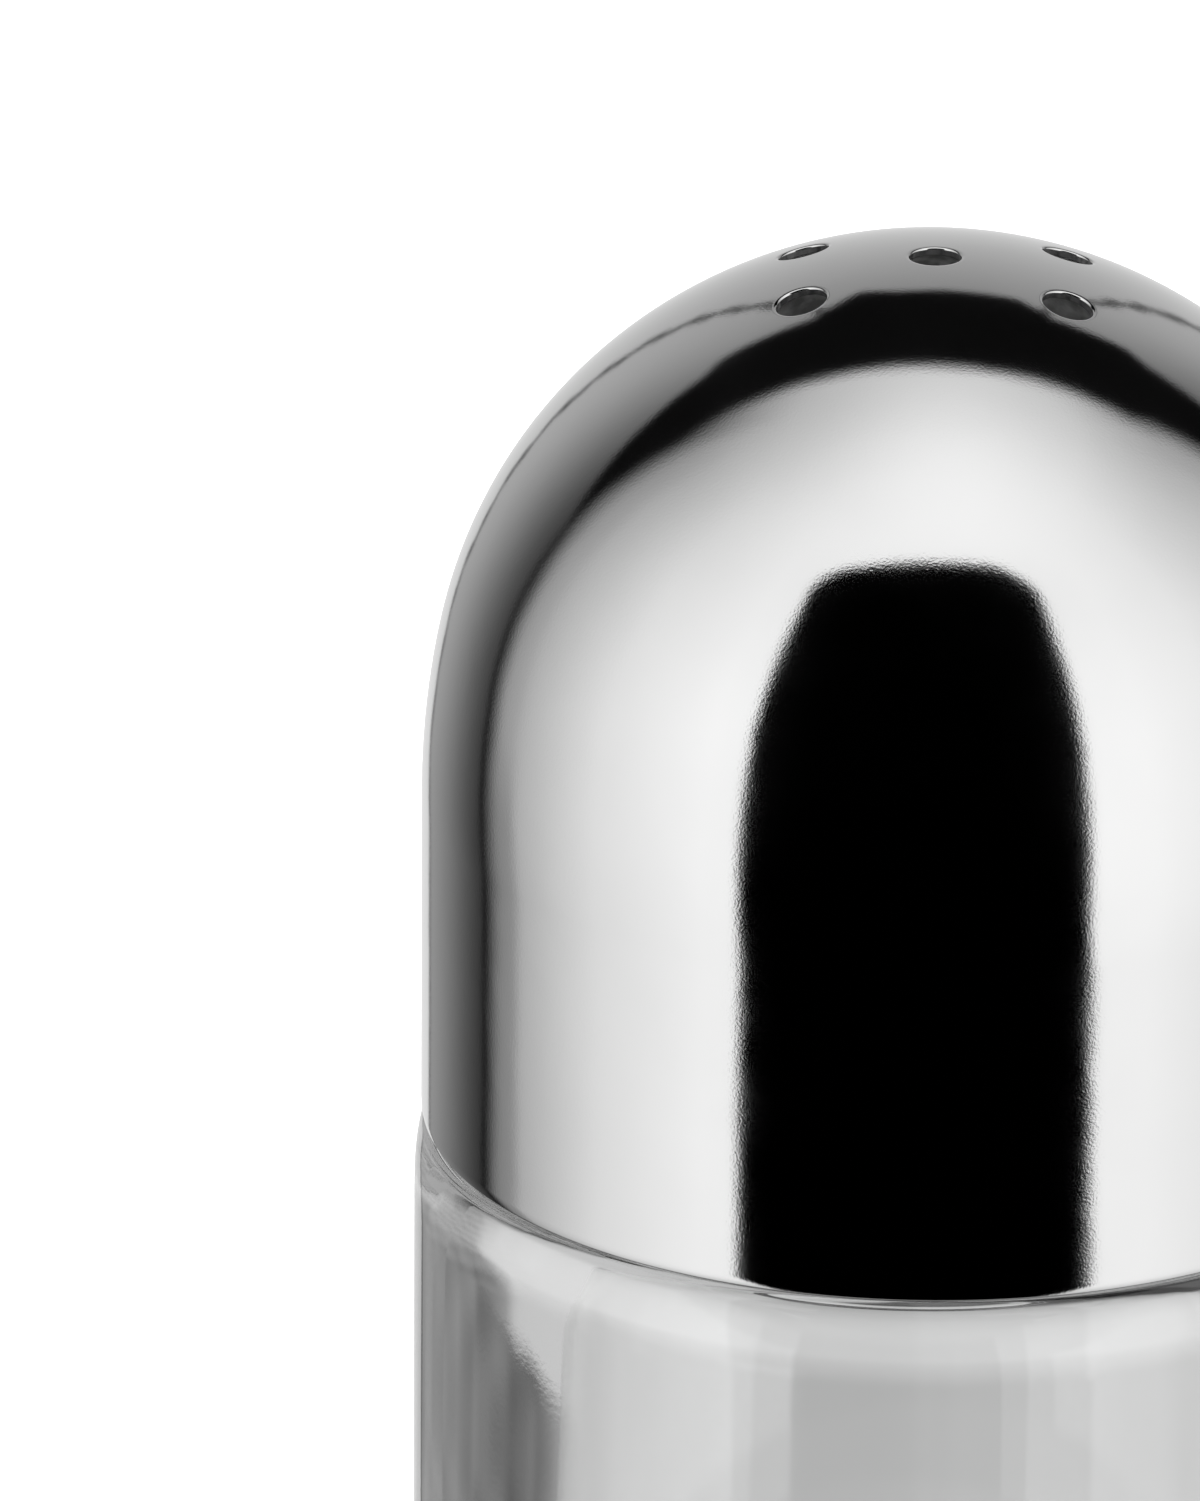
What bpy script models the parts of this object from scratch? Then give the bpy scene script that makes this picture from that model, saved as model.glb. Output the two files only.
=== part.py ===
"""Salt shaker: a thick clear glass jar, closed by a mirror-polished steel dome with five sprinkle holes.

The jar stands on z = 0 with its axis on Z. The dome, the plastic collar inside its skirt and the soft
washer under the collar lift off together, straight up the axis. Lengths are in metres.
"""

import math

import bmesh
import bpy
from mathutils import Matrix, Vector

MM = 0.001

# ---- glass jar
JAR_R = 24.0 * MM             # outer wall
HEEL_R = 2.6 * MM             # rounding between the wall and the foot
FOOT_IN_R = 15.8 * MM         # the flat foot is the ring between this and the heel
PUNT_DEPTH = 1.5 * MM         # shallow hollow under the base
SHOULDER_START = 49.21 * MM   # height where the wall starts to lean in
SHOULDER_ARC_R = 10.0 * MM    # radius of that lean
LEDGE_Z = 52.39 * MM          # flat ledge under the cap's edge
LIP_R = 0.9 * MM              # rounding between shoulder and ledge
NECK_R = 20.6 * MM            # outside of the neck
NECK_ROOT_R = 0.6 * MM        # fillet where the neck meets the ledge
NECK_TOP = 62.0 * MM
RIM_R = 1.2 * MM              # fire-polished rounding of the rim
MOUTH_R = 16.0 * MM           # bore of the neck
CAVITY_FLOOR = 8.0 * MM       # top of the thick glass base, on the axis
CAVITY_CORNER_R = 7.0 * MM    # rounding of the cavity's floor
CAVITY = (                    # height and radius of the inner wall, from the floor corner to the neck
    (15.0 * MM, 15.6 * MM),
    (50.0 * MM, 15.6 * MM),
    (57.5 * MM, MOUTH_R),
)

# ---- steel dome
SKIRT_R = 23.68 * MM          # outside of the straight skirt
DOME_R = 23.37 * MM           # outside of the round top
BLEND_DROP = 3.1 * MM         # how far below the dome's centre its side has turned straight
CAP_WALL = 0.4 * MM           # drawn sheet
CAP_BOTTOM = 52.54 * MM       # the skirt's edge, just above the ledge
CAP_CENTRE = 71.63 * MM       # centre of the dome
EDGE_R = 0.16 * MM            # rounding of the skirt's edge
HOLE_R = 1.2 * MM             # each sprinkle hole
HOLE_X = 6.15 * MM            # four holes stand on a rectangle round the one at the pole
HOLE_Y = 3.44 * MM
HOLE_TURN = math.radians(-2.4)  # how far the rectangle is turned on the jar
BLEND = 2.0 * math.atan((SKIRT_R - DOME_R) / BLEND_DROP)  # angle above the dome's equator where the blend starts
BLEND_R = DOME_R + BLEND_DROP / math.sin(BLEND)           # radius of the blend between dome and skirt

# ---- collar and washer, inside the skirt
COLLAR_R = 23.12 * MM         # pressed into the skirt
COLLAR_LOW = 53.4 * MM
COLLAR_TOP = 64.9 * MM
COLLAR_BORE_R = 20.95 * MM    # passes over the neck
RIB_DEPTH = 0.2 * MM          # ribs on the bore, which grip the neck
RIBS = 16
FLANGE_LOW = 63.45 * MM       # flange that stops the cap on the rim
FLANGE_BORE_R = 17.0 * MM
SEAL_LOW = 62.15 * MM         # washer between rim and flange
SEAL_TOP = 63.3 * MM
SEAL_IN_R = 16.8 * MM
SEAL_OUT_R = 20.5 * MM

TURN_STEPS = 48               # sides of each turned piece
COLLAR_STEPS = RIBS * 4


def arc(cx, cz, radius, start, end, steps):
    """Points (r, z) on a circle, angles in degrees from +r towards +z."""
    out = []
    for i in range(steps + 1):
        a = math.radians(start + (end - start) * i / steps)
        out.append((cx + radius * math.cos(a), cz + radius * math.sin(a)))
    return out


def ease(a, b, t):
    """From a to b with no slope at either end."""
    return a + (b - a) * t * t * (3.0 - 2.0 * t)


def tidy(points, within=1e-6):
    """The same profile without points that repeat."""
    out = []
    for p in points:
        if not out or math.dist(p, out[-1]) > within:
            out.append(p)
    if math.dist(out[0], out[-1]) <= within:
        out.pop()
    return out


def turned(name, profile, base_z, steps, closed):
    """A turned body: the profile, points (r, z), spun once round Z. Its origin is on the axis at base_z."""
    bm = bmesh.new()
    verts = [bm.verts.new((r, 0.0, z - base_z)) for r, z in profile]
    edges = [bm.edges.new((a, b)) for a, b in zip(verts, verts[1:])]
    if closed:
        edges.append(bm.edges.new((verts[-1], verts[0])))
    bmesh.ops.spin(
        bm,
        geom=verts + edges,
        cent=(0.0, 0.0, 0.0),
        axis=(0.0, 0.0, 1.0),
        angle=2.0 * math.pi,
        steps=steps,
        use_merge=True,
        use_duplicate=False,
    )
    bmesh.ops.remove_doubles(bm, verts=bm.verts[:], dist=2e-7)
    bmesh.ops.recalc_face_normals(bm, faces=bm.faces[:])
    mesh = bpy.data.meshes.new(name)
    bm.to_mesh(mesh)
    bm.free()
    mesh.shade_smooth()
    mesh.set_sharp_from_angle(angle=math.radians(40.0))
    obj = bpy.data.objects.new(name, mesh)
    bpy.context.scene.collection.objects.link(obj)
    obj.location = (0.0, 0.0, base_z)
    return obj


def finish(obj, colour, roughness, metallic, transmission=0.0, ior=1.5):
    mat = bpy.data.materials.new(obj.name)
    mat.use_nodes = True
    shader = mat.node_tree.nodes["Principled BSDF"]
    shader.inputs["Base Color"].default_value = (*colour, 1.0)
    shader.inputs["Roughness"].default_value = roughness
    shader.inputs["Metallic"].default_value = metallic
    shader.inputs["Transmission Weight"].default_value = transmission
    shader.inputs["IOR"].default_value = ior
    obj.data.materials.append(mat)


def cavity_wall():
    """The inner wall from the floor's corner up to the neck, easing from one height to the next."""
    out = []
    for (z0, r0), (z1, r1) in zip(CAVITY, CAVITY[1:]):
        steps = max(3, round((z1 - z0) / (2.2 * MM)))
        out += [
            (ease(r0, r1, i / steps), z0 + (z1 - z0) * i / steps) for i in range(steps + 1)
        ]
    return out


def jar_profile():
    """From the axis under the base, out to the heel, up the wall, over the rim, down the cavity to its floor."""
    points = []
    for i in range(7):                                    # shallow hollow under the base
        t = i / 6
        points.append((FOOT_IN_R * t, ease(PUNT_DEPTH, 0.0, t)))
    points += arc(JAR_R - HEEL_R, HEEL_R, HEEL_R, -90.0, 0.0, 5)
    inner_r = SHOULDER_ARC_R - LIP_R                      # the lip's circle touches the lean from inside
    lean = math.asin((LEDGE_Z - LIP_R - SHOULDER_START) / inner_r)
    lip_r = JAR_R - SHOULDER_ARC_R + inner_r * math.cos(lean)
    points += arc(JAR_R - SHOULDER_ARC_R, SHOULDER_START, SHOULDER_ARC_R, 0.0, math.degrees(lean), 4)
    points += arc(lip_r, LEDGE_Z - LIP_R, LIP_R, math.degrees(lean), 90.0, 4)
    points += arc(NECK_R + NECK_ROOT_R, LEDGE_Z + NECK_ROOT_R, NECK_ROOT_R, 270.0, 180.0, 2)
    points += arc(NECK_R - RIM_R, NECK_TOP - RIM_R, RIM_R, 0.0, 90.0, 3)
    points += arc(MOUTH_R + RIM_R, NECK_TOP - RIM_R, RIM_R, 90.0, 180.0, 3)
    points += list(reversed(cavity_wall()))
    corner_r = CAVITY[0][1] - CAVITY_CORNER_R
    points += arc(corner_r, CAVITY_FLOOR + CAVITY_CORNER_R, CAVITY_CORNER_R, 0.0, -90.0, 5)
    points.append((0.0, CAVITY_FLOOR))
    return tidy(points)


def dome_side(wall):
    """The outline inside the sheet by wall, from just beside the pole down to where it turns straight."""
    near_pole = 90.0 - math.degrees(math.asin(1.12 * HOLE_R / (DOME_R - CAP_WALL)))   # first ring, outside the middle hole
    blend = math.degrees(BLEND)
    points = arc(0.0, CAP_CENTRE, DOME_R - wall, near_pole, blend, 13)
    away = BLEND_R - DOME_R
    points += arc(-away * math.cos(BLEND), CAP_CENTRE - away * math.sin(BLEND), BLEND_R - wall, blend, 0.0, 4)
    return points


def dome_profile():
    """From the pole down the outside to the skirt's edge, and back up the inside to the pole."""
    inner = SKIRT_R - CAP_WALL
    points = [(0.0, CAP_CENTRE + DOME_R)]
    points += dome_side(0.0)
    points += arc(SKIRT_R - EDGE_R, CAP_BOTTOM + EDGE_R, EDGE_R, 0.0, -90.0, 2)
    points += arc(inner + EDGE_R, CAP_BOTTOM + EDGE_R, EDGE_R, -90.0, -180.0, 2)
    points += list(reversed(dome_side(CAP_WALL)))
    points.append((0.0, CAP_CENTRE + DOME_R - CAP_WALL))
    return tidy(points)


def pierce(dome):
    """Five straight holes, each square to the dome where it passes through it."""
    centre = Vector((0.0, 0.0, CAP_CENTRE))
    spots = [(0.0, 0.0)] + [(sx * HOLE_X, sy * HOLE_Y) for sx in (-1, 1) for sy in (-1, 1)]
    c, s = math.cos(HOLE_TURN), math.sin(HOLE_TURN)
    for k, (x, y) in enumerate(spots):
        x, y = c * x - s * y, s * x + c * y
        way = Vector((x, y, math.sqrt(DOME_R**2 - x * x - y * y))).normalized()
        bm = bmesh.new()
        bmesh.ops.create_cone(
            bm, cap_ends=True, segments=20, radius1=HOLE_R, radius2=HOLE_R, depth=6.0 * MM
        )
        turn = way.to_track_quat("Z", "Y").to_matrix().to_4x4()
        bmesh.ops.transform(
            bm,
            matrix=Matrix.Translation(way * (DOME_R - CAP_WALL / 2.0)) @ turn,
            verts=bm.verts[:],
        )
        mesh = bpy.data.meshes.new(f"hole_cutter_{k}")
        bm.to_mesh(mesh)
        bm.free()
        cutter = bpy.data.objects.new(f"hole_cutter_{k}", mesh)
        bpy.context.scene.collection.objects.link(cutter)
        cutter.location = centre
        cutter.hide_render = True
        cutter.display_type = "WIRE"
        cut = dome.modifiers.new(f"hole_{k}", "BOOLEAN")
        cut.operation = "DIFFERENCE"
        cut.object = cutter


def collar_profile():
    """A ring that fills the skirt round the neck, with a flange over the neck's rim."""
    soft = 0.3 * MM
    return tidy(
        [
            (COLLAR_BORE_R + 0.5 * MM, COLLAR_LOW),
            (COLLAR_R - soft, COLLAR_LOW),
            (COLLAR_R, COLLAR_LOW + soft),
            (COLLAR_R, COLLAR_TOP - soft),
            (COLLAR_R - soft, COLLAR_TOP),
            (FLANGE_BORE_R + soft, COLLAR_TOP),
            (FLANGE_BORE_R, COLLAR_TOP - soft),
            (FLANGE_BORE_R, FLANGE_LOW + soft),
            (FLANGE_BORE_R + soft, FLANGE_LOW),
            (COLLAR_BORE_R, FLANGE_LOW),
            (COLLAR_BORE_R, FLANGE_LOW - 2.4 * MM),
            (COLLAR_BORE_R, COLLAR_LOW + 1.2 * MM),
        ]
    )


def raise_ribs(collar):
    """Pulls every fourth column of the bore's two middle rings inwards, so that each is the crest of a rib."""
    low = COLLAR_LOW + 1.0 * MM - CAP_BOTTOM
    high = FLANGE_LOW - 1.0 * MM - CAP_BOTTOM
    for v in collar.data.vertices:
        r = math.hypot(v.co.x, v.co.y)
        if abs(r - COLLAR_BORE_R) > 0.05 * MM or not low < v.co.z < high:
            continue
        column = round(math.atan2(v.co.y, v.co.x) / (2.0 * math.pi) * COLLAR_STEPS)
        if column % 4 == 0:
            k = (COLLAR_BORE_R - RIB_DEPTH) / r
            v.co.x *= k
            v.co.y *= k


def seal_profile():
    """A flat washer with rounded edges."""
    half = (SEAL_TOP - SEAL_LOW) / 2.0
    z = SEAL_LOW + half
    points = arc(SEAL_OUT_R - half, z, half, -90.0, 90.0, 4)
    points += arc(SEAL_IN_R + half, z, half, 90.0, 270.0, 4)
    return tidy(points)


for old in list(bpy.data.objects):
    bpy.data.objects.remove(old, do_unlink=True)

jar = turned("glass_jar", jar_profile(), 0.0, TURN_STEPS, closed=False)
finish(jar, (0.96, 0.97, 0.97), 0.02, 0.0, transmission=1.0, ior=1.52)

lift = bpy.data.objects.new("lift_axis", None)            # the cap's pieces rise together along this axis
lift.location = (0.0, 0.0, CAP_BOTTOM)
bpy.context.scene.collection.objects.link(lift)

dome = turned("dome_cap", dome_profile(), CAP_BOTTOM, TURN_STEPS, closed=False)
pierce(dome)
finish(dome, (0.62, 0.62, 0.62), 0.05, 1.0)

collar = turned("cap_collar", collar_profile(), CAP_BOTTOM, COLLAR_STEPS, closed=True)
raise_ribs(collar)
finish(collar, (0.86, 0.86, 0.84), 0.45, 0.0)

seal = turned("seal_ring", seal_profile(), CAP_BOTTOM, TURN_STEPS, closed=True)
finish(seal, (0.8, 0.8, 0.78), 0.6, 0.0)

for piece in (dome, collar, seal):
    piece.parent = lift
    piece.location = (0.0, 0.0, 0.0)
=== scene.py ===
"""Looks of the salt shaker: a mirror-polished steel dome on a thick clear glass jar, in a white light tent."""

import math

import bmesh
import bpy
from mathutils import Matrix, Vector
from mathutils.geometry import delaunay_2d_cdt


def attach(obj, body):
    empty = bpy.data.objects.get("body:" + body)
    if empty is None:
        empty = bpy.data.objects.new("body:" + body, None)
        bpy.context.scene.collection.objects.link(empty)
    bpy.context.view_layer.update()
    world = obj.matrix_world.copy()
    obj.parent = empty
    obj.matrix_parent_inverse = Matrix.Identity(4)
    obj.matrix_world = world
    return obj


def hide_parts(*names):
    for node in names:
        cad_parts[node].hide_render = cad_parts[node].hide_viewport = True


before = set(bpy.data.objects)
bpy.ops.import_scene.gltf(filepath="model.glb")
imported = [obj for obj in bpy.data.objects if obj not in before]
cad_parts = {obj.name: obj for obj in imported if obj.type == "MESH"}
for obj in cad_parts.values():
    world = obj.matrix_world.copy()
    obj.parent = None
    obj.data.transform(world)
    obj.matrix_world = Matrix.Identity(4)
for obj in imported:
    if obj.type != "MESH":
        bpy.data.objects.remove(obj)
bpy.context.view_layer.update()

MM = 0.001
TAU = 2.0 * math.pi

# ---------------------------------------------------------------- dimensions, as in the solids (millimetres)
JAR_R = 24.0
HEEL_R = 2.6
FOOT_IN_R = 15.8
PUNT_DEPTH = 1.5
SHOULDER_START = 49.21
SHOULDER_ARC_R = 10.0
LEAD_R = 33.0                                             # below it the wall starts to lean in with this radius
LEAD = 2.6                                                # up to this many degrees
LEDGE_Z = 52.39
LIP_R = 0.9
NECK_R = 20.6
NECK_ROOT_R = 0.6
NECK_TOP = 62.0
RIM_R = 1.2
MOUTH_R = 16.0
CAVITY_FLOOR = 8.0
CAVITY_CORNER_R = 7.0
CAVITY = ((15.0, 15.6), (34.0, 15.6), (50.0, 15.6), (57.5, MOUTH_R))
RIPPLE = 0.4
DRIFT = (-0.65, 0.6)                                      # how far the blown cavity sits off the axis, to the left and back

SKIRT_R = 23.68
DOME_R = 23.37
BLEND_DROP = 3.1                                          # how far below the dome's centre the wall turns straight
CAP_WALL = 0.4
CAP_BOTTOM = 52.54
CAP_CENTRE = 71.63
EDGE_R = 0.16
CURL_R = 2.9                                              # the skirt's foot turns in with this radius
CURL = math.radians(8.0)                                  # and this far, before its edge rounds over
HOLE_R = 1.2
HOLE_X = 6.15
HOLE_Y = 3.44
HOLE_TURN = math.radians(-2.4)                            # the cap is turned a little on the jar
HOLE_ROLL = 0.11                                          # rounding of each hole's outer edge
DISH_R = 0.5                                              # the sheet dips towards each hole with this radius
DISH = math.radians(10.0)                                 # and this far, before its edge rolls over
BLEND = 2.0 * math.atan((SKIRT_R - DOME_R) / BLEND_DROP)  # angle above the dome's equator where the blend starts
BLEND_R = DOME_R + BLEND_DROP / math.sin(BLEND)

COLLAR_R = 23.12
COLLAR_LOW = 53.4
COLLAR_TOP = 64.9
COLLAR_BORE_R = 20.95
RIB_DEPTH = 0.2
RIBS = 16
FLANGE_LOW = 63.45
FLANGE_BORE_R = 17.0
SEAL_LOW = 62.15
SEAL_TOP = 63.3
SEAL_IN_R = 16.8
SEAL_OUT_R = 20.5


# ---------------------------------------------------------------- profiles
def arc(cx, cz, radius, start, end, steps):
    """Points (r, z) on a circle, angles in degrees from +r towards +z."""
    return [
        (
            cx + radius * math.cos(math.radians(start + (end - start) * i / steps)),
            cz + radius * math.sin(math.radians(start + (end - start) * i / steps)),
        )
        for i in range(steps + 1)
    ]


def ease(a, b, t):
    return a + (b - a) * t * t * (3.0 - 2.0 * t)


def line(a, b, steps):
    return [
        (a[0] + (b[0] - a[0]) * i / steps, a[1] + (b[1] - a[1]) * i / steps)
        for i in range(steps + 1)
    ]


def tidy(points, within=1e-4):
    out = []
    for p in points:
        if not out or math.dist(p, out[-1]) > within:
            out.append(p)
    if math.dist(out[0], out[-1]) <= within:
        out.pop()
    return out


def make_object(name, verts, faces, normals=None):
    """A mesh object from millimetre points, shaded smooth, with its own normals if they are given."""
    mesh = bpy.data.meshes.new(name)
    mesh.from_pydata([(x * MM, y * MM, z * MM) for x, y, z in verts], [], faces)
    mesh.validate()
    mesh.shade_smooth()
    if normals is not None:
        mesh.normals_split_custom_set_from_vertices([tuple(n) for n in normals])
    obj = bpy.data.objects.new(name, mesh)
    bpy.context.scene.collection.objects.link(obj)
    return obj


def turned(name, profile, steps, closed, radial=None):
    """The profile turned round Z. Points on the axis become one vertex. radial(r, z, angle) may move a point in or out."""
    verts, faces, rings = [], [], []
    for r, z in profile:
        if r < 1e-6:
            rings.append([len(verts)])
            verts.append((0.0, 0.0, z))
            continue
        ring = []
        for k in range(steps):
            a = TAU * k / steps
            rr = radial(r, z, a) if radial else r
            ring.append(len(verts))
            verts.append((rr * math.cos(a), rr * math.sin(a), z))
        rings.append(ring)
    pairs = list(zip(rings, rings[1:]))
    if closed:
        pairs.append((rings[-1], rings[0]))
    for a, b in pairs:
        for k in range(steps):
            k2 = (k + 1) % steps
            if len(a) == 1 and len(b) > 1:
                faces.append((a[0], b[k2], b[k]))
            elif len(b) == 1 and len(a) > 1:
                faces.append((a[k], a[k2], b[0]))
            elif len(a) > 1:
                faces.append((a[k], a[k2], b[k2], b[k]))
    obj = make_object(name, verts, faces)
    bm = bmesh.new()
    bm.from_mesh(obj.data)
    bmesh.ops.recalc_face_normals(bm, faces=bm.faces[:])
    bm.to_mesh(obj.data)
    bm.free()
    obj.data.shade_smooth()
    return obj


# ---------------------------------------------------------------- glass jar
def jar_outside():
    points = [(FOOT_IN_R * i / 24, ease(PUNT_DEPTH, 0.0, i / 24)) for i in range(25)]
    points += line((FOOT_IN_R, 0.0), (JAR_R - HEEL_R, 0.0), 6)
    points += arc(JAR_R - HEEL_R, HEEL_R, HEEL_R, -90.0, 0.0, 14)
    turn_in = math.radians(LEAD)
    lead_z = SHOULDER_START - (LEAD_R - SHOULDER_ARC_R) * math.sin(turn_in)
    arc_r = JAR_R - SHOULDER_ARC_R - (LEAD_R - SHOULDER_ARC_R) * (1.0 - math.cos(turn_in))
    points += line((JAR_R, HEEL_R), (JAR_R, lead_z), 60)
    points += arc(JAR_R - LEAD_R, lead_z, LEAD_R, 0.0, LEAD, 10)
    inner_r = SHOULDER_ARC_R - LIP_R
    lean = math.asin((LEDGE_Z - LIP_R - SHOULDER_START) / inner_r)
    lip_r = arc_r + inner_r * math.cos(lean)
    points += arc(arc_r, SHOULDER_START, SHOULDER_ARC_R, LEAD, math.degrees(lean), 14)
    points += arc(lip_r, LEDGE_Z - LIP_R, LIP_R, math.degrees(lean), 90.0, 14)
    points += line((lip_r, LEDGE_Z), (NECK_R + NECK_ROOT_R, LEDGE_Z), 5)
    points += arc(NECK_R + NECK_ROOT_R, LEDGE_Z + NECK_ROOT_R, NECK_ROOT_R, 270.0, 180.0, 6)
    points += line((NECK_R, LEDGE_Z + NECK_ROOT_R), (NECK_R, NECK_TOP - RIM_R), 10)
    points += arc(NECK_R - RIM_R, NECK_TOP - RIM_R, RIM_R, 0.0, 90.0, 8)
    return tidy(points)


def jar_inside():
    points = arc(MOUTH_R + RIM_R, NECK_TOP - RIM_R, RIM_R, 90.0, 180.0, 8)
    points += line((MOUTH_R, NECK_TOP - RIM_R), (MOUTH_R, CAVITY[-1][0]), 8)
    wall = []
    for (z0, r0), (z1, r1) in zip(CAVITY, CAVITY[1:]):
        steps = max(4, round((z1 - z0) / 0.5))
        wall += [(ease(r0, r1, i / steps), z0 + (z1 - z0) * i / steps) for i in range(steps + 1)]
    points += list(reversed(wall))
    corner_r = CAVITY[0][1] - CAVITY_CORNER_R
    points += arc(corner_r, CAVITY_FLOOR + CAVITY_CORNER_R, CAVITY_CORNER_R, 0.0, -90.0, 18)
    points += line((corner_r, CAVITY_FLOOR), (0.0, CAVITY_FLOOR), 8)
    return tidy(points)


def build_jar():
    """The outside is true to the axis. The blown inside sits off centre, ripples a little and swells on the left."""
    steps = 320

    def inside(r, z, a):
        fade = max(0.0, min(1.0, (60.0 - z) / 8.0)) * min(1.0, r / CAVITY[0][1])
        ripple = 0.006 * math.sin(23.0 * a + 0.05 * z) + 0.004 * math.sin(41.0 * a + 1.3 - 0.08 * z) + 0.003 * math.sin(67.0 * a + 0.4)
        side = max(0.0, math.cos(a - math.radians(195.0))) ** 2
        lean = 0.1 * (1.0 - math.cos(TAU * (46.0 - z) / 36.0)) * side if 10.0 < z < 46.0 else 0.0
        rr = r + (RIPPLE * ripple + lean) * fade
        d = ease(1.0, 0.0, max(0.0, min(1.0, (z - 50.5) / 10.0)))
        return (rr * math.cos(a) + DRIFT[0] * d, rr * math.sin(a) + DRIFT[1] * d, z)

    verts, faces, rings = [], [], []
    for k_, (profile, place) in enumerate(((jar_outside(), None), (jar_inside(), inside))):
        for r, z in profile:
            if r < 1e-6:
                rings.append([len(verts)])
                verts.append((0.0, 0.0, z) if place is None else place(0.0, z, 0.0))
                continue
            ring = []
            for k in range(steps):
                a = TAU * k / steps
                ring.append(len(verts))
                verts.append(place(r, z, a) if place else (r * math.cos(a), r * math.sin(a), z))
            rings.append(ring)
    for a, b in zip(rings, rings[1:]):
        for k in range(steps):
            k2 = (k + 1) % steps
            if len(a) == 1:
                faces.append((a[0], b[k2], b[k]))
            elif len(b) == 1:
                faces.append((a[k], a[k2], b[0]))
            else:
                faces.append((a[k], a[k2], b[k2], b[k]))
    return make_object("glass_body", verts, faces)


jar = build_jar()


# ---------------------------------------------------------------- steel dome
def pierced_cap(radius, hole_angle, steps, limit, spots):
    """The top of a sphere out to the polar angle limit, without a round window at each spot.

    Returns (directions, triangles, rim indices, window indices per spot)."""

    def flat(d):
        t = math.acos(max(-1.0, min(1.0, d.z)))
        h = math.hypot(d.x, d.y)
        return Vector((0.0, 0.0)) if h < 1e-12 else Vector((d.x / h * t, d.y / h * t))

    def lifted(p):
        t = p.length
        if t < 1e-12:
            return Vector((0.0, 0.0, 1.0))
        return Vector((p.x / t * math.sin(t), p.y / t * math.sin(t), math.cos(t)))

    dirs, edges = [], []
    rim = []
    for k in range(steps):
        a = TAU * k / steps
        rim.append(len(dirs))
        dirs.append(Vector((math.sin(limit) * math.cos(a), math.sin(limit) * math.sin(a), math.cos(limit))))
    edges += [(rim[k], rim[(k + 1) % steps]) for k in range(steps)]
    windows = []
    for axis in spots:
        q = axis.to_track_quat("Z", "Y")
        ring = []
        for k in range(HOLE_STEPS):
            a = TAU * k / HOLE_STEPS
            ring.append(len(dirs))
            dirs.append(
                q @ Vector((math.sin(hole_angle) * math.cos(a), math.sin(hole_angle) * math.sin(a), math.cos(hole_angle)))
            )
        edges += [(ring[k], ring[(k + 1) % HOLE_STEPS]) for k in range(HOLE_STEPS)]
        windows.append(ring)
    # rings of points that get finer towards each window
    gap = 0.45 / radius
    rows = int(limit / gap)
    for j in range(rows):
        t = limit * j / rows
        count = max(1, round(TAU * t / gap))
        for k in range(count):
            a = TAU * (k + 0.5 * (j % 2)) / count
            d = Vector((math.sin(t) * math.cos(a), math.sin(t) * math.sin(a), math.cos(t)))
            if all(d.angle(s) > hole_angle + 0.55 * gap for s in spots):
                dirs.append(d)
    coords = [flat(d) for d in dirs]
    out = delaunay_2d_cdt(coords, edges, [], 0, 1e-9)
    new_coords, _, tris, orig = out[0], out[1], out[2], out[3]
    new_dirs = [dirs[o[0]] if o else lifted(c) for c, o in zip(new_coords, orig)]
    where = {o: i for i, os_ in enumerate(orig) for o in os_}
    keep = []
    for t in tris:
        mid = (new_dirs[t[0]] + new_dirs[t[1]] + new_dirs[t[2]]).normalized()
        if all(mid.angle(s) > hole_angle * 0.9999 - 1e-4 for s in spots):
            keep.append(tuple(t))
    return new_dirs, keep, [where[i] for i in rim], [[where[i] for i in w] for w in windows]


HOLE_STEPS = 72
DOME_STEPS = 256


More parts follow.
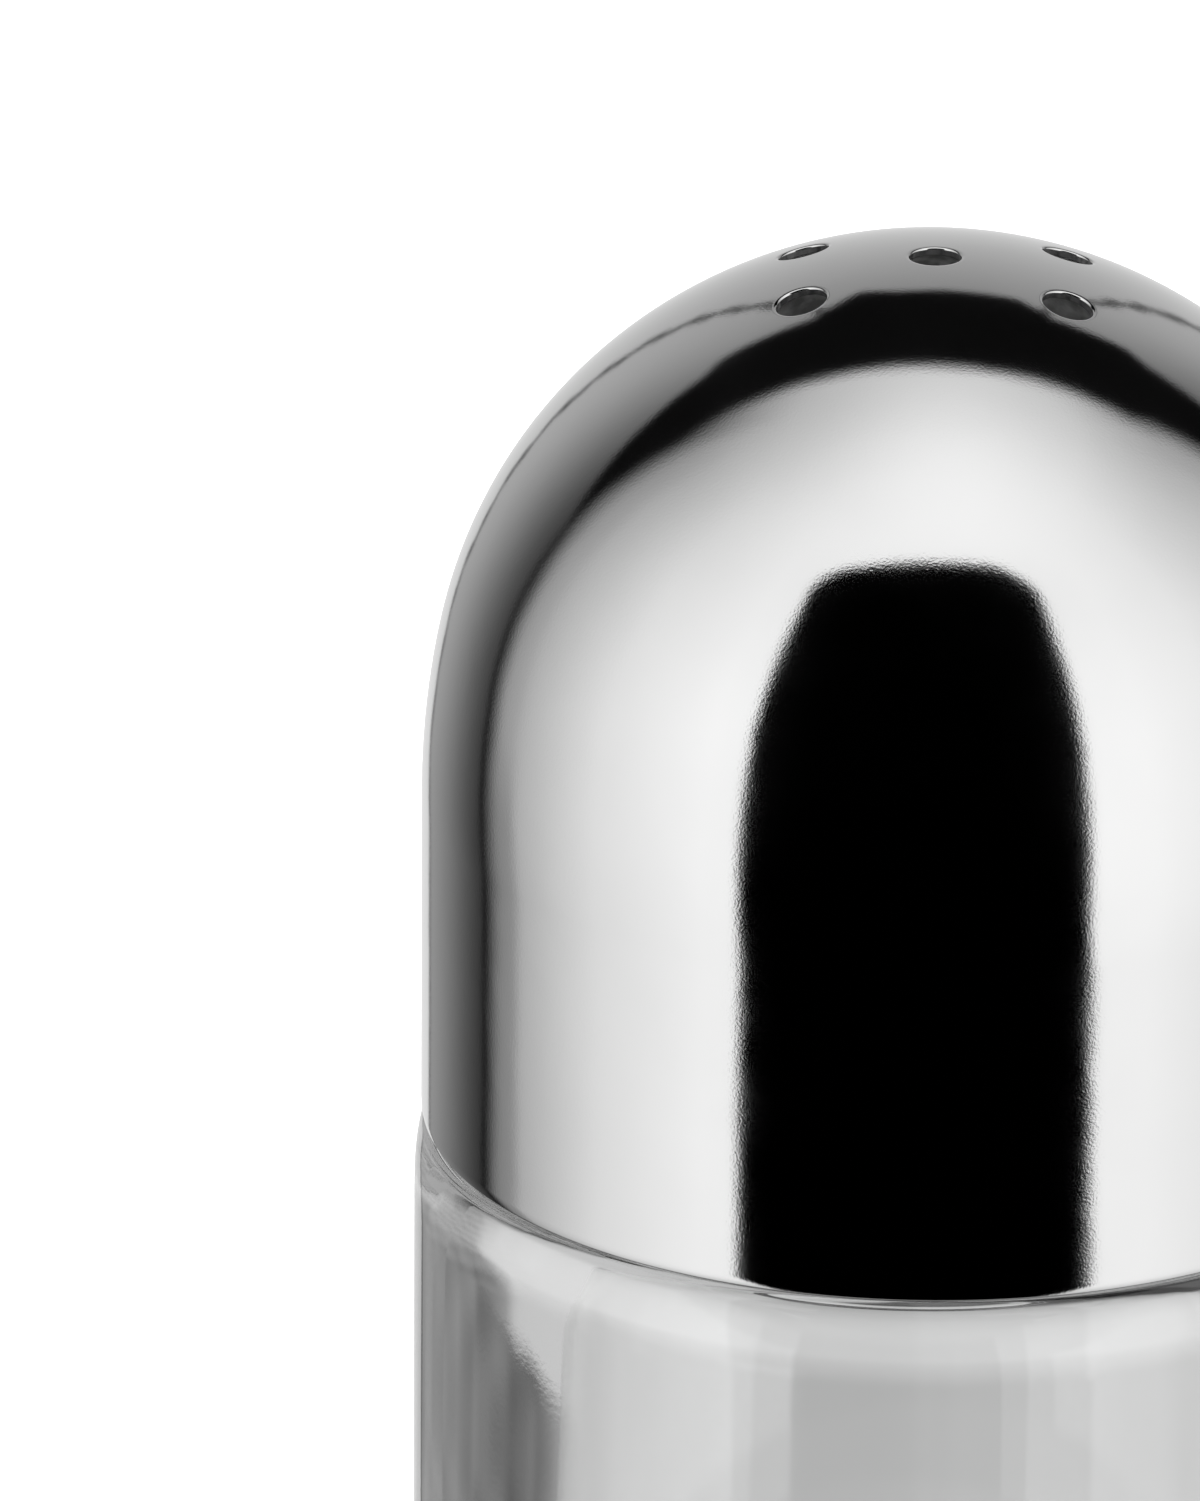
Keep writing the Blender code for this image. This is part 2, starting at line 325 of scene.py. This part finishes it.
def build_dome():
    inner = DOME_R - CAP_WALL
    skirt_in = SKIRT_R - CAP_WALL
    centre = Vector((0.0, 0.0, CAP_CENTRE))
    places = [(0.0, 0.0)] + [(sx * HOLE_X, sy * HOLE_Y) for sx in (-1, 1) for sy in (-1, 1)]
    c, t = math.cos(HOLE_TURN), math.sin(HOLE_TURN)
    places = [(c * x - t * y, t * x + c * y) for x, y in places]
    spots = [Vector((x, y, math.sqrt(DOME_R**2 - x * x - y * y))).normalized() for x, y in places]
    limit = math.radians(33.0)
    # round each hole the sheet dips, then its outer edge rolls over; the inner edge has a small rounding
    rim_in = 0.05
    angle_out = math.asin((HOLE_R + HOLE_ROLL + (DISH_R - HOLE_ROLL) * math.sin(DISH)) / (DOME_R - DISH_R))
    dish = ((DOME_R - DISH_R) * math.sin(angle_out), (DOME_R - DISH_R) * math.cos(angle_out))
    rolled = (HOLE_R + HOLE_ROLL, dish[1] + (DISH_R - HOLE_ROLL) * math.cos(DISH))
    c_in = (HOLE_R + rim_in, math.sqrt((inner + rim_in) ** 2 - (HOLE_R + rim_in) ** 2))
    angle_in = math.atan2(*c_in)

    verts, normals, faces = [], [], []

    def add(p, n):
        verts.append(tuple(p))
        normals.append(n.normalized())
        return len(verts) - 1

    d_out, t_out, rim_o, win_o = pierced_cap(DOME_R, angle_out, DOME_STEPS, limit, spots)
    base_o = [add(centre + d * DOME_R, d) for d in d_out]
    for t in t_out:
        a, b, c = (base_o[i] for i in t)
        n = (Vector(verts[b]) - Vector(verts[a])).cross(Vector(verts[c]) - Vector(verts[a]))
        faces.append((a, b, c) if n.dot(normals[a]) > 0 else (a, c, b))
    d_in, t_in, rim_i, win_i = pierced_cap(inner, angle_in, DOME_STEPS, limit, spots)
    base_i = [add(centre + d * inner, -d) for d in d_in]
    for t in t_in:
        a, b, c = (base_i[i] for i in t)
        n = (Vector(verts[b]) - Vector(verts[a])).cross(Vector(verts[c]) - Vector(verts[a]))
        faces.append((a, b, c) if n.dot(normals[a]) > 0 else (a, c, b))
    # the walls of the holes
    for axis, wo, wi in zip(spots, win_o, win_i):
        q = axis.to_track_quat("Z", "Y")
        section = []
        for i in range(1, 13):                            # into the dish, from the sphere to the rolled edge
            b = angle_out + (-DISH - angle_out) * i / 12
            section.append((dish[0] + DISH_R * math.sin(b), dish[1] + DISH_R * math.cos(b), math.sin(b), math.cos(b)))
        for i in range(1, 11):                            # over the edge into the bore
            b = -DISH + (DISH - math.pi / 2) * i / 10
            section.append((rolled[0] + HOLE_ROLL * math.sin(b), rolled[1] + HOLE_ROLL * math.cos(b), math.sin(b), math.cos(b)))
        section.append((HOLE_R, (rolled[1] + c_in[1]) / 2.0, -1.0, 0.0))
        for i in range(0, 4):                             # over the inner edge
            b = math.pi + (math.pi / 2 + angle_in) * i / 4
            section.append((c_in[0] + rim_in * math.cos(b), c_in[1] + rim_in * math.sin(b), math.cos(b), math.sin(b)))
        rings = [[base_o[i] for i in wo]]
        for r, h, nr, nh in section:
            ring = []
            for k in range(HOLE_STEPS):
                a = TAU * k / HOLE_STEPS
                p = q @ Vector((r * math.cos(a), r * math.sin(a), h))
                n = q @ Vector((nr * math.cos(a), nr * math.sin(a), nh))
                ring.append(add(centre + p, n))
            rings.append(ring)
        rings.append([base_i[i] for i in wi])
        for a, b in zip(rings, rings[1:]):
            for k in range(HOLE_STEPS):
                k2 = (k + 1) % HOLE_STEPS
                faces.append((a[k], a[k2], b[k2], b[k]))
    # below the pierced top: the rest of the dome, the blend, the skirt, its edge, and back up the inside
    def flank(wall):
        """The outline inside the sheet by wall, from the pierced top down to where it turns straight, as (r, z, nr, nz)."""
        out = []
        for i in range(1, 53):
            t = limit + (math.pi / 2 - BLEND - limit) * i / 52
            out.append(((DOME_R - wall) * math.sin(t), CAP_CENTRE + (DOME_R - wall) * math.cos(t), math.sin(t), math.cos(t)))
        cr = (DOME_R - BLEND_R) * math.cos(BLEND)
        cz = CAP_CENTRE + (DOME_R - BLEND_R) * math.sin(BLEND)
        for i in range(1, 21):
            b = BLEND * (1.0 - i / 20)
            out.append((cr + (BLEND_R - wall) * math.cos(b), cz + (BLEND_R - wall) * math.sin(b), math.cos(b), math.sin(b)))
        return out

    section = flank(0.0)
    top, low = CAP_CENTRE - BLEND_DROP, CAP_BOTTOM + EDGE_R
    foot = low + (CURL_R - EDGE_R) * math.sin(CURL)       # where the skirt starts to turn in
    for i in range(1, 21):
        section.append((SKIRT_R, top + (foot - top) * i / 20, 1.0, 0.0))
    for i in range(1, 11):
        b = -CURL * i / 10
        section.append((SKIRT_R - CURL_R + CURL_R * math.cos(b), foot + CURL_R * math.sin(b), math.cos(b), math.sin(b)))
    edge_r = SKIRT_R - CURL_R + (CURL_R - EDGE_R) * math.cos(CURL)
    for i in range(1, 9):
        b = -CURL - (math.pi / 2 - CURL) * i / 8
        section.append((edge_r + EDGE_R * math.cos(b), low + EDGE_R * math.sin(b), math.cos(b), math.sin(b)))
    for i in range(0, 9):
        b = math.radians(-90.0 - 90.0 * i / 8)
        section.append((skirt_in + EDGE_R + EDGE_R * math.cos(b), low + EDGE_R * math.sin(b), math.cos(b), math.sin(b)))
    for i in range(1, 10):
        section.append((skirt_in, low + (top - low) * i / 10, -1.0, 0.0))
    section += [(r, z, -nr, -nz) for r, z, nr, nz in reversed(flank(CAP_WALL))]
    rings = [[base_o[i] for i in rim_o]]
    for r, z, nr, nz in section:
        ring = []
        for k in range(DOME_STEPS):
            a = TAU * k / DOME_STEPS
            ring.append(add((r * math.cos(a), r * math.sin(a), z), Vector((nr * math.cos(a), nr * math.sin(a), nz))))
        rings.append(ring)
    rings.append([base_i[i] for i in rim_i])
    for a, b in zip(rings, rings[1:]):
        for k in range(DOME_STEPS):
            k2 = (k + 1) % DOME_STEPS
            faces.append((a[k], b[k], b[k2], a[k2]))
    return make_object("steel_dome", verts, faces, normals)


def finish_of(poly):
    """0 for the polished outside, 1 for the unpolished inside, 2 for the torn lower part of a hole's wall."""
    c = poly.center / MM - Vector((0.0, 0.0, CAP_CENTRE))
    if c.z > 0.0:
        depth = DOME_R - c.length
        return 0 if depth < CAP_WALL * 0.42 else 2 if depth < CAP_WALL - 0.01 else 1
    return 1 if math.hypot(c.x, c.y) < SKIRT_R - CAP_WALL * 0.9 and c.z > CAP_BOTTOM + 0.5 - CAP_CENTRE else 0


dome = build_dome()


# ---------------------------------------------------------------- collar and washer
def collar_profile():
    soft = 0.3
    corner = lambda cx, cz, a0, a1: arc(cx, cz, soft, a0, a1, 5)
    points = [(COLLAR_BORE_R + 0.5, COLLAR_LOW)]
    points += corner(COLLAR_R - soft, COLLAR_LOW + soft, -90.0, 0.0)
    points += corner(COLLAR_R - soft, COLLAR_TOP - soft, 0.0, 90.0)
    points += corner(FLANGE_BORE_R + soft, COLLAR_TOP - soft, 90.0, 180.0)
    points += corner(FLANGE_BORE_R + soft, FLANGE_LOW + soft, 180.0, 270.0)
    points += [(COLLAR_BORE_R - 0.25, FLANGE_LOW), (COLLAR_BORE_R, FLANGE_LOW - 0.25)]
    points += line((COLLAR_BORE_R, FLANGE_LOW - 0.6), (COLLAR_BORE_R, COLLAR_LOW + 1.2), 14)
    points += [(COLLAR_BORE_R + 0.12, COLLAR_LOW + 0.7), (COLLAR_BORE_R + 0.32, COLLAR_LOW + 0.2)]
    return tidy(points)


def rib(r, z, a):
    """Sixteen half-round ribs on the bore, fading out at both ends."""
    if abs(r - COLLAR_BORE_R) > 0.02:
        return r
    low, high = COLLAR_LOW + 1.2, FLANGE_LOW - 0.6
    t = (z - low) / (high - low)
    fade = max(0.0, min(1.0, min(t, 1.0 - t) * 6.0))
    off = (a * RIBS / TAU + 0.5) % 1.0 - 0.5
    bump = max(0.0, 1.0 - (off / 0.16) ** 2)
    return r - (RIB_DEPTH - 0.02) * math.sqrt(bump) * fade


collar = turned("collar_ring", collar_profile(), 256, closed=True, radial=rib)
collar.data.set_sharp_from_angle(angle=math.radians(50.0))


def seal_profile():
    half = (SEAL_TOP - SEAL_LOW) / 2.0
    z = SEAL_LOW + half
    points = arc(SEAL_OUT_R - half, z, half, -90.0, 90.0, 12)
    points += arc(SEAL_IN_R + half, z, half, 90.0, 270.0, 12)
    return tidy(points)


seal = turned("seal_washer", seal_profile(), 192, closed=True)


# ---------------------------------------------------------------- node helper
class Sum:
    """Writes shader maths as plain expressions: each result is a socket of a Math node in one tree."""

    def __init__(self, tree, value):
        self.t, self.v = tree, value

    def _m(self, op, *others, clamp=False):
        n = self.t.nodes.new("ShaderNodeMath")
        n.operation = op
        n.use_clamp = clamp
        for i, o in enumerate((self, *others)):
            o = o.v if isinstance(o, Sum) else o
            if isinstance(o, (int, float)):
                n.inputs[i].default_value = o
            else:
                self.t.links.new(o, n.inputs[i])
        return Sum(self.t, n.outputs[0])

    def __add__(self, o): return self._m("ADD", o)
    def __radd__(self, o): return self._m("ADD", o)
    def __sub__(self, o): return self._m("SUBTRACT", o)
    def __rsub__(self, o): return Sum(self.t, o)._m("SUBTRACT", self)
    def __mul__(self, o): return self._m("MULTIPLY", o)
    def __rmul__(self, o): return self._m("MULTIPLY", o)
    def __truediv__(self, o): return self._m("DIVIDE", o)
    def __neg__(self): return self._m("MULTIPLY", -1.0)
    def max(self, o): return self._m("MAXIMUM", o)
    def min(self, o): return self._m("MINIMUM", o)
    def abs(self): return self._m("ABSOLUTE")
    def sqrt(self): return self._m("SQRT")
    def pow(self, o): return self._m("POWER", o)
    def clamp(self): return self._m("ADD", 0.0, clamp=True)

    def step(self, lo, hi):
        """0 below lo, 1 above hi, smooth between. Falls instead of rising where lo is above hi."""
        n = self.t.nodes.new("ShaderNodeMapRange")
        n.interpolation_type = "SMOOTHSTEP"
        flip = lo > hi
        n.inputs["From Min"].default_value = min(lo, hi)
        n.inputs["From Max"].default_value = max(lo, hi)
        n.inputs["To Min"].default_value = 1.0 if flip else 0.0
        n.inputs["To Max"].default_value = 0.0 if flip else 1.0
        self.t.links.new(self.v, n.inputs["Value"])
        return Sum(self.t, n.outputs["Result"])

    def mix(self, other, share):
        """self where share is 0, other where it is 1."""
        if not isinstance(other, Sum):
            return self + (other - self) * share
        return self + (other - self) * share


# ---------------------------------------------------------------- studio: a white light tent, as the steel mirrors it
STEEL = 0.66                                              # how much the steel reflects
SEE_THROUGH = 0.52
SEE_LOW = 0.17
DEEP = 0.38


def studio_world():
    world = bpy.data.worlds.new("studio")
    bpy.context.scene.world = world
    world.use_nodes = True
    tree = world.node_tree
    tree.nodes.clear()
    coord = tree.nodes.new("ShaderNodeTexCoord")
    parts = tree.nodes.new("ShaderNodeSeparateXYZ")
    tree.links.new(coord.outputs["Generated"], parts.inputs[0])
    x, y, z = (Sum(tree, parts.outputs[i]) for i in range(3))
    front = -y
    az = x._m("ARCTAN2", front) * (180.0 / math.pi)       # 0 towards the viewer, positive to the viewer's right
    el = z._m("ARCSINE") * (180.0 / math.pi)
    # the sky laid flat round the zenith: u to the right, w to the back
    down = (z + 1.0).max(0.02)
    u, w = x * 2.0 / down, y * 2.0 / down

    # white tent: bright at the front, falling off to the sides, its left wall ending in shade
    left = az.step(10.0, -10.0)
    turn = az.abs()
    wall_l = 0.905 - (turn - 54.0).max(0.0) * 0.0062 - (turn - 82.0).max(0.0) * 0.006
    wall_r = 0.905 - (turn - 50.0).max(0.0) * 0.0045 - (turn - 70.0).max(0.0) * 0.005
    arch = (el - 6.0) / 123.0
    wall = wall_r.mix(wall_l, left).max(0.0) * (1.0 - arch * arch)
    wall = wall * turn.step(123.5, 114.5) * (1.0 - turn.step(106.5, 111.5) * (el.step(-8.0, -17.0) * 0.24 + 0.08))
    wall = wall * (1.0 - el.step(-28.0, -50.0) * 0.75)    # the table close by is in shade
    # its roof: a bright patch over the object, falling off to the back edge
    roof = 0.40 + w.step(0.45, -0.55) * 0.46 + u.step(0.2, 0.7) * w.step(-0.5, 0.1) * 0.06
    roof = roof + (u - 0.08).abs().step(0.62, 0.0) * w.step(-0.58, 0.05) * 0.21
    tent = wall.mix(roof, el.step(36.0, 64.0))

    # behind the roof's edge a dark gap, and under it the sheets that stand behind the object
    edge = 0.425 - u * 0.06 + u * u * 0.085
    edge = edge.max(u.abs() * 0.675)
    behind = (w - edge).step(-0.085, 0.01)
    from_back = 180.0 - turn
    middle = 0.43 - (el - 1.0) * 0.0053
    rise = (el - 8.0) / 52.0
    sides = (from_back.step(62.0, 22.0) * 0.31 + 0.03) * (1.03 - rise * rise)
    fold = 20.4 - (el - 5.0).max(0.0) * (0.02 + left * 0.11)
    fold = fold + (el * 1.1)._m("SINE") * 0.35 + (el * 2.7)._m("SINE") * 0.25
    off = from_back - fold
    rear = middle.mix(sides, off.step(-0.6, 0.6))
    rear = rear * (1.0 - off.abs().step(1.5, 0.3) * 0.78)
    gap_low = (1.0 - u * u).max(0.0).sqrt().max(0.785) + 0.012
    gap_low = gap_low.min(0.963 - u.max(0.0) * 0.045 + (-0.046 - u).max(0.0) * 0.43)
    gap_low = gap_low.min((u * 1.1 + 1.159).max(0.852)).min((1.22 - u * 1.1).max(0.847))
    gap = (w - gap_low).step(0.025, -0.025)
    rear = rear.max(0.0).mix(0.003, gap)
    light = tent.mix(rear, behind)

    # the dark opening that the picture is taken through
    ahead = front.max(0.02)
    px, pz = x / ahead, z / ahead
    slid = px - pz.max(-0.5) * px.step(0.3, -0.5) * 0.03 - el.step(-13.0, -22.5) * (px.step(-0.3, 0.3) * 0.024 + 0.004)
    slid = slid - px.step(-0.3, 0.3) * el.step(-22.5, -23.3) * 0.046
    cx, hx = (-0.985 + 0.687) / 2.0, (0.985 + 0.687) / 2.0
    corner = 0.29 + px.step(-0.3, 0.3) * 0.08
    qx = ((slid - cx).abs() - (hx - corner)).max(0.0)
    qz = (pz - (1.672 - px * 0.045 - corner)).max(0.0)
    dist = (qx * qx + qz * qz).sqrt() - corner
    corner = 0.4 + px.step(-0.3, 0.3) * 0.08              # and its lower corners, seen in the skirt's foot only
    qx = ((slid - cx).abs() - (hx - corner)).max(0.0)
    qz = ((corner - 1.01) - pz).max(0.0)
    dist = dist.max((qx * qx + qz * qz).sqrt() - corner)
    opening = dist.step(0.035, -0.035) * front.step(0.0, 0.05)
    light = light.mix(0.0, opening)
    light = light.max(0.0) / STEEL

    seen = tree.nodes.new("ShaderNodeLightPath")
    turns = Sum(tree, seen.outputs["Glossy Depth"])
    # what is seen straight through the glass: an even sheet, brighter where the shoulder bends the view down
    through = SEE_THROUGH + from_back.step(3.0, 8.0) * 0.05 - (from_back - 27.0).abs().step(12.0, 4.0) * left * 0.04
    through = through + from_back.step(30.0, 44.0) * left * 0.08
    through = through + from_back.step(0.1, 1.5) * from_back.step(7.5, 4.5) * left * el.step(-24.6, -24.2) * (0.055 + el.step(-23.75, -24.05) * 0.015)
    through = through + ((-23.95 - el) * 0.12).max(0.0).min(SEE_LOW)
    open_side = 1.0 - from_back.step(6.0, 22.0) * left
    # painted shade: further down, the view through the glass darkens, standing for the table close by in the object's
    # own shadow
    through = through - el.step(-29.5, -33.0) * (0.05 + open_side * 0.07) - el.step(-33.0, -46.0) * 0.1 - el.step(-45.0, -53.0) * open_side * 0.4
    # what the inside of the glass mirrors: the tent's wall at the side, a dark surround behind it with a slanted edge
    shade = 0.10 + turn.step(126.0, 172.0) * 0.16
    shade = shade + (az * 0.2 + el * 4.0)._m("SINE") * 0.025 + (az * 0.47 - el * 2.5)._m("SINE") * 0.015
    corner_at = 108.5 + el.step(-21.9, -23.0) * 29.5 + el.step(-23.6, -28.0) * 22.0
    low = el.step(-23.7, -26.0)
    hollow = (shade + low * 0.1).mix(0.56 + low * 0.15, (turn - corner_at).step(13.0, -9.0))
    # painted shade: the dark surround darkens further down, standing for the table close by in shade
    hollow = hollow * (1.0 - el.step(-29.0, -44.0) * 0.25)
    hollow = hollow.mix(0.5, el.step(-10.0, 2.0))
    # painted shade: the mirrored tent darkens further down, standing for the table close by in shade; it is also dimmed
    # where it looks up
    inner = light * (1.0 - el.step(-27.0, -40.0) * 0.7) * (1.0 - el.step(-12.0, 8.0) * 0.8)
    inner = inner * (1.0 - turns.step(1.2, 2.4) * 0.6) * (1.0 - az.step(30.0, 44.0) * el.step(-23.35, -23.05) * 0.75)
    inner = inner.mix(hollow, turn.step(101.0, 107.0).max(turn.step(60.0, 85.0) * left * el.step(-33.0, -40.0)))
    inner = inner.mix(0.3, turn.step(75.0, 55.0) * el.step(-27.0, -33.0))
    inner = inner * (1.0 - az.step(30.0, 60.0) * el.step(-31.0, -37.0) * 0.87)

    passed = Sum(tree, seen.outputs["Transmission Depth"]).min(1.0)
    inner = inner.mix(DEEP, turns.step(4.0, 12.0))         # light led round inside the wall comes out evened
    light = light.mix(through.mix(inner, turns.min(1.0)), passed)
    pale = Sum(tree, seen.outputs["Is Camera Ray"])
    light = light.mix(1.0, pale)
    shader = tree.nodes.new("ShaderNodeBackground")
    tree.links.new(light.v, shader.inputs["Color"])
    out = tree.nodes.new("ShaderNodeOutputWorld")
    tree.links.new(shader.outputs[0], out.inputs["Surface"])


studio_world()


# ---------------------------------------------------------------- materials
def material(name):
    mat = bpy.data.materials.new(name)
    mat.use_nodes = True
    tree = mat.node_tree
    return mat, tree, tree.nodes["Principled BSDF"]


def noise(tree, scale, detail=2.0, rough=0.5, stretch=None):
    """A noise texture over the piece's own metres, as (value socket)."""
    coord = tree.nodes.new("ShaderNodeTexCoord")
    source = coord.outputs["Object"]
    if stretch:
        m = tree.nodes.new("ShaderNodeMapping")
        m.inputs["Scale"].default_value = stretch
        tree.links.new(source, m.inputs["Vector"])
        source = m.outputs[0]
    n = tree.nodes.new("ShaderNodeTexNoise")
    n.inputs["Scale"].default_value = scale
    n.inputs["Detail"].default_value = detail
    n.inputs["Roughness"].default_value = rough
    tree.links.new(source, n.inputs["Vector"])
    return n.outputs["Fac"]


def ramp(tree, socket, stops):
    r = tree.nodes.new("ShaderNodeValToRGB")
    r.color_ramp.elements[0].position, r.color_ramp.elements[0].color = stops[0][0], (*stops[0][1], 1.0)
    r.color_ramp.elements[1].position, r.color_ramp.elements[1].color = stops[-1][0], (*stops[-1][1], 1.0)
    for pos, col in stops[1:-1]:
        e = r.color_ramp.elements.new(pos)
        e.color = (*col, 1.0)
    tree.links.new(socket, r.inputs[0])
    return r.outputs[0]


def bump(tree, socket, height, below=None):
    b = tree.nodes.new("ShaderNodeBump")
    b.inputs["Strength"].default_value = 1.0
    b.inputs["Distance"].default_value = height
    tree.links.new(socket, b.inputs["Height"])
    if below is not None:
        tree.links.new(below, b.inputs["Normal"])
    return b.outputs[0]


def steel_material():
    mat, tree, p = material("polished_steel")
    p.inputs["Metallic"].default_value = 1.0
    tone = noise(tree, 90.0, 3.0)
    tree.links.new(ramp(tree, tone, [(0.3, (0.645, 0.645, 0.645)), (0.7, (0.675, 0.675, 0.674))]), p.inputs["Base Color"])
    haze = noise(tree, 240.0, 4.0)
    tree.links.new(ramp(tree, haze, [(0.3, (0.05, 0.05, 0.05)), (0.75, (0.085, 0.085, 0.085))]), p.inputs["Roughness"])
    wave = bump(tree, noise(tree, 220.0, 2.0), 0.000012)
    peel = bump(tree, noise(tree, 8600.0, 3.0), 0.0000022, wave)
    tree.links.new(peel, p.inputs["Normal"])
    return mat


def inside_steel_material():
    """The inside of the drawn sheet is left as it came off the tool: dull, with fine streaks up the wall."""
    mat, tree, p = material("drawn_steel")
    streak = noise(tree, 900.0, 3.0, stretch=(1.0, 1.0, 0.12))
    tree.links.new(ramp(tree, streak, [(0.38, (0.42, 0.42, 0.42)), (0.62, (0.92, 0.92, 0.92))]), p.inputs["Base Color"])
    p.inputs["Metallic"].default_value = 0.2
    tree.links.new(ramp(tree, noise(tree, 1500.0, 3.0), [(0.3, (0.45, 0.45, 0.45)), (0.7, (0.6, 0.6, 0.6))]), p.inputs["Roughness"])
    tree.links.new(bump(tree, streak, 0.000008), p.inputs["Normal"])
    return mat


def torn_steel_material():
    """Where the punch broke through, the wall of each hole is grey and grained."""
    mat, tree, p = material("torn_steel")
    grain = noise(tree, 3000.0, 3.0, stretch=(1.0, 1.0, 0.2))
    tree.links.new(ramp(tree, grain, [(0.35, (0.03, 0.03, 0.03)), (0.65, (0.13, 0.13, 0.13))]), p.inputs["Base Color"])
    p.inputs["Metallic"].default_value = 0.3
    tree.links.new(ramp(tree, noise(tree, 2500.0, 2.0), [(0.3, (0.45, 0.45, 0.45)), (0.7, (0.65, 0.65, 0.65))]), p.inputs["Roughness"])
    tree.links.new(bump(tree, grain, 0.000006), p.inputs["Normal"])
    return mat


def glass_material():
    mat, tree, p = material("clear_glass")
    p.inputs["Transmission Weight"].default_value = 1.0
    p.inputs["IOR"].default_value = 1.52
    p.inputs["Roughness"].default_value = 0.0
    tint = noise(tree, 60.0, 2.0)
    tree.links.new(ramp(tree, tint, [(0.3, (0.985, 0.988, 0.987)), (0.7, (0.995, 0.996, 0.996))]), p.inputs["Base Color"])
    wave = bump(tree, noise(tree, 3400.0, 2.0), 0.00000032)
    tree.links.new(wave, p.inputs["Normal"])
    return mat


def plastic_material():
    mat, tree, p = material("collar_plastic")
    tone = noise(tree, 300.0, 4.0)
    tree.links.new(ramp(tree, tone, [(0.3, (0.80, 0.80, 0.78)), (0.7, (0.87, 0.87, 0.85))]), p.inputs["Base Color"])
    tree.links.new(ramp(tree, noise(tree, 900.0, 3.0), [(0.3, (0.38, 0.38, 0.38)), (0.7, (0.52, 0.52, 0.52))]), p.inputs["Roughness"])
    tree.links.new(bump(tree, noise(tree, 5000.0, 2.0), 0.000006), p.inputs["Normal"])
    p.inputs["Subsurface Weight"].default_value = 0.15
    p.inputs["Subsurface Radius"].default_value = (0.002, 0.002, 0.002)
    return mat


def seal_material():
    mat, tree, p = material("seal_rubber")
    tone = noise(tree, 400.0, 3.0)
    tree.links.new(ramp(tree, tone, [(0.3, (0.70, 0.70, 0.68)), (0.7, (0.80, 0.80, 0.78))]), p.inputs["Base Color"])
    tree.links.new(ramp(tree, noise(tree, 1200.0, 3.0), [(0.3, (0.55, 0.55, 0.55)), (0.7, (0.7, 0.7, 0.7))]), p.inputs["Roughness"])
    tree.links.new(bump(tree, noise(tree, 4000.0, 2.0), 0.00001), p.inputs["Normal"])
    return mat


for piece, make, body, node, slot in (
    (jar, glass_material, "jar", "glass_jar", "clear_glass"),
    (dome, steel_material, "cap", "dome_cap", "polished_steel"),
    (collar, plastic_material, "cap", "cap_collar", "collar_plastic"),
    (seal, seal_material, "cap", "seal_ring", "seal_rubber"),
):
    piece.data.materials.clear()
    piece.data.materials.append(make())
    if piece is dome:
        piece.data.materials.append(inside_steel_material())
        piece.data.materials.append(torn_steel_material())
        for poly in piece.data.polygons:
            poly.material_index = finish_of(poly)
    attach(piece, body)
    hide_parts(node)


# ---------------------------------------------------------------- floor and lamp
def floor_plane():
    size, steps = 2.4, 24
    verts = [(-size + 2 * size * i / steps, -size + 2 * size * j / steps, 0.0) for j in range(steps + 1) for i in range(steps + 1)]
    faces = [
        (j * (steps + 1) + i, j * (steps + 1) + i + 1, (j + 1) * (steps + 1) + i + 1, (j + 1) * (steps + 1) + i)
        for j in range(steps)
        for i in range(steps)
    ]
    mesh = bpy.data.meshes.new("floor")
    mesh.from_pydata(verts, [], faces)
    obj = bpy.data.objects.new("floor", mesh)
    bpy.context.scene.collection.objects.link(obj)
    mat, tree, p = material("floor")
    tree.links.new(ramp(tree, noise(tree, 8.0, 3.0), [(0.3, (0.86, 0.86, 0.86)), (0.7, (0.9, 0.9, 0.9))]), p.inputs["Base Color"])
    p.inputs["Roughness"].default_value = 0.9
    p.inputs["Specular IOR Level"].default_value = 0.1
    mesh.materials.append(mat)
    obj.visible_glossy = False
    obj.visible_transmission = False
    return obj


floor_plane()

lamp_data = bpy.data.lights.new("overhead", "AREA")
lamp_data.shape = "DISK"
lamp_data.size = 2.2
lamp_data.energy = 55.0
lamp = bpy.data.objects.new("overhead", lamp_data)
bpy.context.scene.collection.objects.link(lamp)
lamp.location = (0.0, 0.0, 1.6)
lamp.visible_glossy = False
lamp.visible_transmission = False
lamp.visible_camera = False

# ---------------------------------------------------------------- camera
ELEVATION = math.radians(21.317)
DISTANCE = 0.72905
cam_data = bpy.data.cameras.new("camera")
cam_data.lens = 374.17
cam_data.sensor_width = 36.0
cam_data.shift_x = 0.17266                                # the object stands to the right of the lens axis
cam_data.clip_start = 0.05
cam_data.clip_end = 20.0
camera = bpy.data.objects.new("camera", cam_data)
bpy.context.scene.collection.objects.link(camera)
target = Vector((-0.02746, 0.0, 0.07159))
back = Vector((0.0, -math.cos(ELEVATION), math.sin(ELEVATION)))
upward = Vector((0.0, math.sin(ELEVATION), math.cos(ELEVATION)))
camera.location = target - upward * 0.001062 + back * DISTANCE
camera.rotation_mode = "QUATERNION"
camera.rotation_quaternion = (-back).to_track_quat("-Z", "Y")
bpy.context.scene.camera = camera
bpy.context.scene.view_settings.view_transform = "Standard"
bpy.context.scene.cycles.max_bounces = 128
bpy.context.scene.cycles.glossy_bounces = 100
bpy.context.scene.cycles.transmission_bounces = 48
